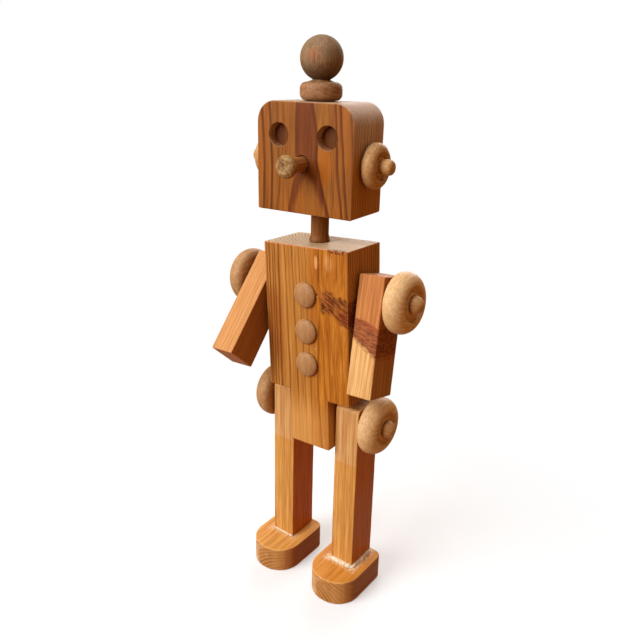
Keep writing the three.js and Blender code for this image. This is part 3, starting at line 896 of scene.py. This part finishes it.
def lathe(profile, closed=False, sides=ROUND_SIDES):
    """Turns a profile of (radius, height) points round z."""
    bm = bmesh.new()
    rings = []
    for radius, height in profile:
        if radius < 1e-4:
            rings.append([bm.verts.new((0, 0, height))])
            continue
        angles = [2 * math.pi * i / sides for i in range(sides)]
        rings.append(
            [bm.verts.new((radius * math.cos(a), radius * math.sin(a), height)) for a in angles]
        )
    pairs = list(zip(rings, rings[1:]))
    if closed:
        pairs.append((rings[-1], rings[0]))
    for lower, upper in pairs:
        join(bm, lower, upper, sides)
    bmesh.ops.recalc_face_normals(bm, faces=bm.faces)
    return bm


def add_object(name, bm, matrix):
    bm.transform(Matrix.Scale(MM, 4))
    mesh = bpy.data.meshes.new(name)
    bm.to_mesh(mesh)
    bm.free()
    obj = bpy.data.objects.new(name, mesh)
    obj.matrix_world = matrix
    bpy.context.scene.collection.objects.link(obj)
    return obj


def cut(obj, cutters):
    """Cuts the cutters, which are (mesh, matrix) pairs, out of the object."""
    tools = [add_object(f"cutter_{i}", bm, matrix) for i, (bm, matrix) in enumerate(cutters)]
    for tool in tools:
        modifier = obj.modifiers.new(tool.name, "BOOLEAN")
        modifier.operation = "DIFFERENCE"
        modifier.solver = "EXACT"
        modifier.object = tool
    bpy.context.view_layer.update()
    result = obj.evaluated_get(bpy.context.evaluated_depsgraph_get())
    mesh = bpy.data.meshes.new_from_object(result)
    obj.modifiers.clear()
    old = obj.data
    obj.data = mesh
    bpy.data.meshes.remove(old)
    mesh.name = obj.name
    for tool in tools:
        bpy.data.meshes.remove(tool.data)
    return obj


def dress(obj, node, material=None):
    """Gives a finished piece its shading, its wood (its slot's, if none is given) and its body."""
    mesh = obj.data
    mesh.polygons.foreach_set("use_smooth", [True] * len(mesh.polygons))
    mesh.set_sharp_from_angle(angle=SHARP)
    weighted = obj.modifiers.new("even_shading", "WEIGHTED_NORMAL")
    weighted.keep_sharp = True
    mesh.materials.clear()
    mesh.materials.append(material or MATERIALS[SLOT_OF[node]])
    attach(obj, BODY_OF[node])
    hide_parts(node)


# ---------------------------------------------------------------- turned pieces

LIMB_WHEEL = {
    "radius": 20,
    "inner_round": 4.6,
    "widest": 5.6,
    "crown_radius": 12.5,
    "dish": [(12.5, 0), (11.6, 0.7), (10.9, 2.3), (10.1, 3.3), (9.3, 3.3), (8.2, 2.2), (7.2, 1.4)],
    "bore": 4.75,
}
EAR_WHEEL = {
    "radius": 14.3,
    "inner_round": 3.0,
    "widest": 3.5,
    "crown_radius": 9.5,
    "dish": [(9.5, 0), (8.8, 0.5), (8.1, 1.6), (7.5, 2.3), (6.9, 2.3), (6.1, 1.5), (5.4, 1.0)],
    "bore": 3.7,
}
# A peg's head from under its rim to its tip, as shares of its radius and its length.
CONE = (
    (0.9, 0), (0.98, 0.07), (1, 0.17), (0.96, 0.34), (0.84, 0.56),
    (0.66, 0.76), (0.46, 0.9), (0.22, 0.98), (0, 1),
)
KNOB = (
    (0.9, 0), (0.94, 0.1), (0.99, 0.3), (1, 0.52),
    (0.95, 0.72), (0.8, 0.87), (0.5, 0.97), (0, 1),
)
LIMB_PEG = {"radius": 4.4, "head_radius": 6.1, "head_length": 6.2, "head": CONE}
EAR_PEG = {"radius": 3.4, "head_radius": 4.9, "head_length": 8.2, "head": KNOB}
NOSE_RADIUS = 4.65
# The nose's bulb as (radius, distance from its flat end) points.
NOSE_BULB = (
    (4.65, 9.5), (4.9, 8.6), (5.8, 7.0), (6.75, 5.2), (7.1, 3.6), (6.8, 1.9),
    (6.0, 0.8), (4.9, 0.15), (4.3, 0), (3.3, 0.35), (1.6, 0.55), (0, 0.6),
)
BUTTON = {"tenon_radius": 5.5, "tenon": 9, "radius": 8.8, "rim": 1.0}
COLLAR = {"radius": 13.3, "round": 3.9, "slope": ((8.8, 0.1), (7.2, 0.6)), "seat": 5.5, "rise": 1.1}
BALL = {"radius": 13.4, "flat_radius": 5.3, "hole": 12}
NECK = {"radius": 6, "foot_at": 15.0, "foot_radius": 7, "foot_height": 4.5}
BUTTONS = [f"chest_button_{height}" for height in ("top", "middle", "bottom")]
DOWEL_RADIUS = {"antenna_dowel": 3.0, "foot_dowel_left": 4.0, "foot_dowel_right": 4.0}


def wheel_profile(wheel, width):
    """A wheel with its inner face at height 0. The dish is given as (radius, drop) points."""
    inner, widest = wheel["inner_round"], wheel["widest"]
    crown = wheel["crown_radius"]
    hub = width - wheel["dish"][-1][1]
    quarter = arc((0, 0), 1, 0, 88, 16)
    outside = [
        (crown + (wheel["radius"] - crown) * x, widest + (width - widest) * y) for x, y in quarter
    ]
    return [
        (wheel["bore"], 0.4),
        (wheel["bore"] + 0.4, 0),
        *arc((wheel["radius"] - inner, inner), inner, -90, 0, 10),
        *outside,
        *through([(radius, width - drop) for radius, drop in wheel["dish"]]),
        (wheel["bore"] + 0.5, hub),
        (wheel["bore"], hub - 0.5),
    ]


def dome(radius, base, rise, steps=10):
    """The curved top of a mushroom, from its widest ring to the axis."""
    angles = [math.pi / 2 * i / steps for i in range(steps + 1)]
    points = [(radius * math.cos(a), base + rise * math.sin(a)) for a in angles]
    return [*points[:-1], (0, base + rise)]


def shank(radius):
    """The chamfered inner end of a peg, at height 0."""
    return [(0, 0), (radius - CHAMFER, 0), (radius, CHAMFER)]


def peg_profile(peg, length):
    """A peg with a turned head, and its shank's end at height 0."""
    under = length - peg["head_length"]
    wide = peg["head_radius"]
    head = [(wide * share, under + peg["head_length"] * rise) for share, rise in peg["head"]]
    return [
        *shank(peg["radius"]),
        (peg["radius"], under),
        *through(head),
    ]


def nose_profile(length):
    """The shank swells into a bulb with a flat, slightly dished end."""
    bulb = [(radius, length - drop) for radius, drop in NOSE_BULB]
    return [*shank(NOSE_RADIUS), *through(bulb)]


def button_profile(length):
    tenon, rim = BUTTON["tenon"], BUTTON["rim"]
    return [
        *shank(BUTTON["tenon_radius"]),
        (BUTTON["tenon_radius"], tenon + CLEARANCE),
        (BUTTON["radius"] - 0.3, tenon + CLEARANCE),
        *dome(BUTTON["radius"], tenon + rim, length - tenon - rim),
    ]


def collar_profile(height):
    """A thick ring whose top slopes up to the ball that stands on it."""
    width = height - COLLAR["rise"]
    rim, edge = COLLAR["radius"] - COLLAR["round"], COLLAR["round"]
    bore, top = DOWEL_RADIUS["antenna_dowel"] + CLEARANCE, height + CLEARANCE - 0.02
    slope = [(radius, width + rise) for radius, rise in COLLAR["slope"]]
    return [
        (bore, 0),
        *arc((rim, edge), edge, -90, 0, 10),
        *arc((rim, width - edge), edge, 0, 84, 10),
        *through([*slope, (COLLAR["seat"], top)]),
        (bore, top),
    ]


def ball_profile(height):
    radius, flat = BALL["radius"], BALL["flat_radius"]
    start = math.degrees(math.asin(flat / radius)) - 90
    centre = height - radius
    bore = DOWEL_RADIUS["antenna_dowel"] + CLEARANCE
    floor = centre + radius * math.sin(math.radians(start))
    return [
        (0, floor + BALL["hole"] + CLEARANCE),
        (bore, floor + BALL["hole"] + CLEARANCE),
        (bore, floor),
        *arc((0, centre), radius, start, 89, 40),
        (0, height),
    ]


def neck_profile(length):
    """The foot of the neck stands on the torso, where its glue has left it a little wider."""
    radius, foot, foot_at = NECK["radius"], NECK["foot_radius"], NECK["foot_at"]
    flare = [(foot, foot_at), (foot - 0.15, foot_at + 1), (radius + 0.3, foot_at + 2.6)]
    return [
        (0, 0),
        (radius, 0),
        (radius, foot_at),
        *through([*flare, (radius, foot_at + NECK["foot_height"])]),
        (radius, length),
        (0, length),
    ]


def turned_piece(node, profile, closed=False, material=None):
    obj = add_object(f"{node}_look", lathe(profile, closed), SPOTS[node].matrix)
    dress(obj, node, material)


def make_turned_pieces():
    for side in OUT:
        # The robot's right wheels take the darker copy of the wheel wood, as painted shade.
        limb_wood = SHADED_WHEEL_WOOD if side == "right" else None
        for place, wheel, peg, wood in (
            ("shoulder", LIMB_WHEEL, LIMB_PEG, limb_wood),
            ("hip", LIMB_WHEEL, LIMB_PEG, limb_wood),
            ("ear", EAR_WHEEL, EAR_PEG, EAR_WOOD),
        ):
            node = f"{place}_wheel_{side}"
            profile = wheel_profile(wheel, SPOTS[node].size.z)
            turned_piece(node, profile, closed=True, material=wood)
            node = f"{place}_peg_{side}"
            turned_piece(node, peg_profile(peg, SPOTS[node].size.z))
    length = SPOTS["nose_peg"].size.z
    turned_piece("nose_peg", nose_profile(length), material=nose_wood(length))
    for node in BUTTONS:
        turned_piece(node, button_profile(SPOTS[node].size.z))
    collar = collar_profile(SPOTS["antenna_collar"].size.z)
    turned_piece("antenna_collar", collar, closed=True, material=COLLAR_WOOD)
    turned_piece("antenna_ball", ball_profile(SPOTS["antenna_ball"].size.z))
    turned_piece("neck_dowel", neck_profile(SPOTS["neck_dowel"].size.z))


# ---------------------------------------------------------------- blocks

# Round corners, as (radius, steps).
HEAD = {"top": (13, 14), "bottom": (1.5, 4)}
FOOT = {"toe": (18.4, 18), "heel": (6.5, 8)}
LEG_TOP_RADIUS = 3
FOOT_EDGE = 1.1
EYES = {"xs": (-18.9, 17.1), "height": 48.0, "radius": 7.4, "depth": 6.0}
NOSE_HOLE = {"radius": 5.5, "depth": 13.0}


def bore(node, radius, start=-CLEARANCE, end=200.0):
    """A straight hole for the peg or dowel `node`, along its own axis."""
    profile = [(0, start), (radius, start), (radius, end), (0, end)]
    return lathe(profile, sides=HOLE_SIDES), SPOTS[node].matrix


def pocket(spot, x, z, radius, depth, rim=0.5):
    """A flat-bottomed hole in a block's front face, with a slightly worn rim."""
    profile = [
        (0, -depth),
        (radius - 0.4, -depth),
        (radius, 0.4 - depth),
        (radius, -rim),
        (radius + rim * 0.3, -rim * 0.3),
        (radius + rim, 0),
        (radius + rim + 0.4, 1),
        (0, 1),
    ]
    front = Matrix.Translation(Vector((x, -spot.size.y / 2, z)) * MM)
    turn = Matrix.Rotation(math.pi / 2, 4, "X")
    return lathe(profile, sides=HOLE_SIDES), spot.matrix @ front @ turn


def torso_outline():
    spot = SPOTS["torso_block"]
    half, top = spot.size.x / 2, spot.size.z
    places = places_in("torso_block", spot)
    tongue = max(p.x for p in places if p.z < 1)
    left = min(p.z for p in places if p.x > half - 0.01)
    right = min(p.z for p in places if p.x < 0.01 - half)
    return [
        (-tongue, 0),
        (tongue, 0),
        (tongue, left),
        (half, left),
        (half, top),
        (-half, top),
        (-half, right),
        (-tongue, right),
    ]


def rounded(half, low, high, below, above):
    """An outline from -half to half across, with two round corners below and two above."""
    (r, r_steps), (s, s_steps) = below, above
    return [
        *arc((r - half, low + r), r, 180, 270, r_steps),
        *arc((half - r, low + r), r, 270, 360, r_steps),
        *arc((half - s, high - s), s, 0, 90, s_steps),
        *arc((s - half, high - s), s, 90, 180, s_steps),
    ]


def chip(spot, x, y, z, size, seed):
    """A small rough lump, to break a splinter out of an edge."""
    bm = bmesh.new()
    bmesh.ops.create_icosphere(bm, subdivisions=3, radius=1)
    for vert in bm.verts:
        rough = 1 + 0.5 * noise.noise(vert.co * 1.7 + Vector((seed, 0, 0)))
        vert.co = Vector([vert.co[i] * size[i] * rough for i in range(3)])
    return bm, spot.matrix @ Matrix.Translation(Vector((x, y, z)) * MM)


def block(node, outline, axis, seed, cutters, edge=EDGE, material=None):
    """A sanded, worn board: its outline, its thickness along `axis`, and what is cut out of it."""
    spot = SPOTS[node]
    half = spot.size[axis] / 2
    low, high = (0, spot.size.z) if axis == 2 else (-half, half)
    bm = slice_and_wear(soften(plate(outline, axis, low, high), edge), seed)
    obj = add_object(f"{node}_look", bm, spot.matrix)
    dress(cut(obj, cutters), node, material)


def torso():
    spot = SPOTS["torso_block"]
    front, top = -spot.size.y / 2, spot.size.z
    pegs = [f"{place}_peg_{side}" for place in ("shoulder", "hip") for side in OUT]
    cutters = [bore(name, LIMB_PEG["radius"] + CLEARANCE) for name in pegs]
    cutters += [bore(name, BUTTON["tenon_radius"] + CLEARANCE) for name in BUTTONS]
    cutters.append(bore("neck_dowel", NECK["radius"] + CLEARANCE))
    cutters += [
        chip(spot, 27.4, front, top + 0.2, (2.6, 1.6, 1.0), 3),
        chip(spot, 31.8, front, top, (1.4, 1.2, 1.3), 8),
        chip(spot, 24.0, front + 1.2, top + 0.4, (1.6, 1.1, 0.8), 12),
        chip(spot, 9.8, front - 0.3, 112.8, (1.0, 1.3, 1.2), 17),
        chip(spot, 14.9, front - 0.3, 103.8, (0.9, 1.3, 1.9), 23),
        chip(spot, 7.3, front - 0.3, 75.3, (1.1, 0.9, 1.1), 29),
    ]
    block("torso_block", torso_outline(), 1, 1, cutters)


def head():
    spot = SPOTS["head_block"]
    cutters = [pocket(spot, x, EYES["height"], EYES["radius"], EYES["depth"]) for x in EYES["xs"]]
    nose = spot.matrix.inverted() @ SPOTS["nose_peg"].matrix.translation / MM
    cutters.append(pocket(spot, nose.x, nose.z, NOSE_HOLE["radius"], NOSE_HOLE["depth"], rim=0.3))
    cutters += [bore(f"ear_peg_{side}", EAR_PEG["radius"] + CLEARANCE) for side in OUT]
    neck_top = SPOTS["neck_dowel"].size.z + CLEARANCE
    cutters.append(bore("neck_dowel", NECK["radius"] + CLEARANCE, -CLEARANCE, neck_top))
    cutters.append(bore("antenna_dowel", DOWEL_RADIUS["antenna_dowel"] + CLEARANCE))
    outline = rounded(spot.size.x / 2, 0, spot.size.z, HEAD["bottom"], HEAD["top"])
    block("head_block", outline, 1, 2, cutters)


def arm(side):
    node = f"arm_{side}"
    half, length = SPOTS[node].size.x / 2, SPOTS[node].size.z
    outline = [(-half, 0), (half, 0), (half, length), (-half, length)]
    hole = bore(f"shoulder_peg_{side}", LIMB_PEG["radius"] + CLEARANCE)
    block(node, outline, 1, 3 + len(side), [hole])


def leg(side):
    node, dowel = f"leg_{side}", f"foot_dowel_{side}"
    depth, length, r = SPOTS[node].size.y / 2, SPOTS[node].size.z, LEG_TOP_RADIUS
    outline = [
        (-depth, 0),
        (depth, 0),
        *arc((depth - r, length - r), r, 0, 90, 8),
        *arc((r - depth, length - r), r, 90, 180, 8),
    ]
    holes = [
        bore(f"hip_peg_{side}", LIMB_PEG["radius"] + CLEARANCE),
        bore(dowel, DOWEL_RADIUS[dowel] + CLEARANCE, -5, SPOTS[dowel].size.z + CLEARANCE),
    ]
    block(node, outline, 0, 9 + len(side), holes)


def foot(side):
    node, dowel = f"foot_{side}", f"foot_dowel_{side}"
    half, depth = SPOTS[node].size.x / 2, SPOTS[node].size.y / 2
    outline = rounded(half, -depth, depth, FOOT["toe"], FOOT["heel"])
    hole = bore(dowel, DOWEL_RADIUS[dowel] + CLEARANCE)
    material = GLUED_FOOT_WOOD if side == "left" else None
    block(node, outline, 2, 14 + len(side), [hole], FOOT_EDGE, material)


BEAD = {"steps": 60, "sides": 12, "end": 0.7, "flatness": 0.7}


def glue_bead(side, thick):
    """Dried glue squeezed out from under the leg, along its front and its outer side."""
    spot = SPOTS[f"leg_{side}"]
    half, depth = OUT[side][0] * spot.size.x / 2, spot.size.y / 2
    corners = [Vector((-half, -depth, 0)), Vector((half, -depth, 0))]
    corners.append(Vector((half, depth * BEAD["end"], 0)))
    bm = bmesh.new()
    rings = []
    for start, end, outward in zip(corners, corners[1:], (FRONT, OUT[side])):
        for i in range(BEAD["steps"] + 1):
            place = start + (end - start) * (i / BEAD["steps"])
            rings.append(glue_ring(bm, place, Vector(outward), thick))
    for near, far in zip(rings, rings[1:]):
        join(bm, near, far, BEAD["sides"])
    bm.faces.new(rings[0])
    bm.faces.new(rings[-1][::-1])
    bmesh.ops.recalc_face_normals(bm, faces=bm.faces)
    obj = add_object(f"glue_bead_{side}", bm, spot.matrix)
    obj.data.polygons.foreach_set("use_smooth", [True] * len(obj.data.polygons))
    obj.data.materials.append(GLUE)
    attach(obj, BODY_OF[f"leg_{side}"])


def glue_ring(bm, place, outward, thick):
    """One lumpy ring of the bead, round a point at the foot of the leg."""
    swell = 0.75 + 0.8 * noise.noise(place / 3.0) + 0.25 * noise.noise(place / 0.8)
    radius = thick * max(swell, 0.3)
    ring = []
    for i in range(BEAD["sides"]):
        angle = 2 * math.pi * i / BEAD["sides"]
        away = outward * math.cos(angle) + Vector((0, 0, BEAD["flatness"] * math.sin(angle)))
        lump = 1 + 0.5 * noise.noise((place + away * 3) / 0.7)
        ring.append(bm.verts.new(place + away * (radius * lump)))
    return ring


def make_blocks():
    torso()
    head()
    for side in OUT:
        arm(side)
        leg(side)
        foot(side)
    glue_bead("left", 2.5)
    glue_bead("right", 0.7)


def wood_hidden_dowels():
    """The dowels inside the blocks stay as they are and get their wood."""
    for node in DOWEL_RADIUS:
        NODES[node].data.materials.clear()
        NODES[node].data.materials.append(MATERIALS[SLOT_OF[node]])


# ---------------------------------------------------------------- the scene

make_camera()
make_light()
make_world()
make_floor()
make_turned_pieces()
make_blocks()
wood_hidden_dowels()
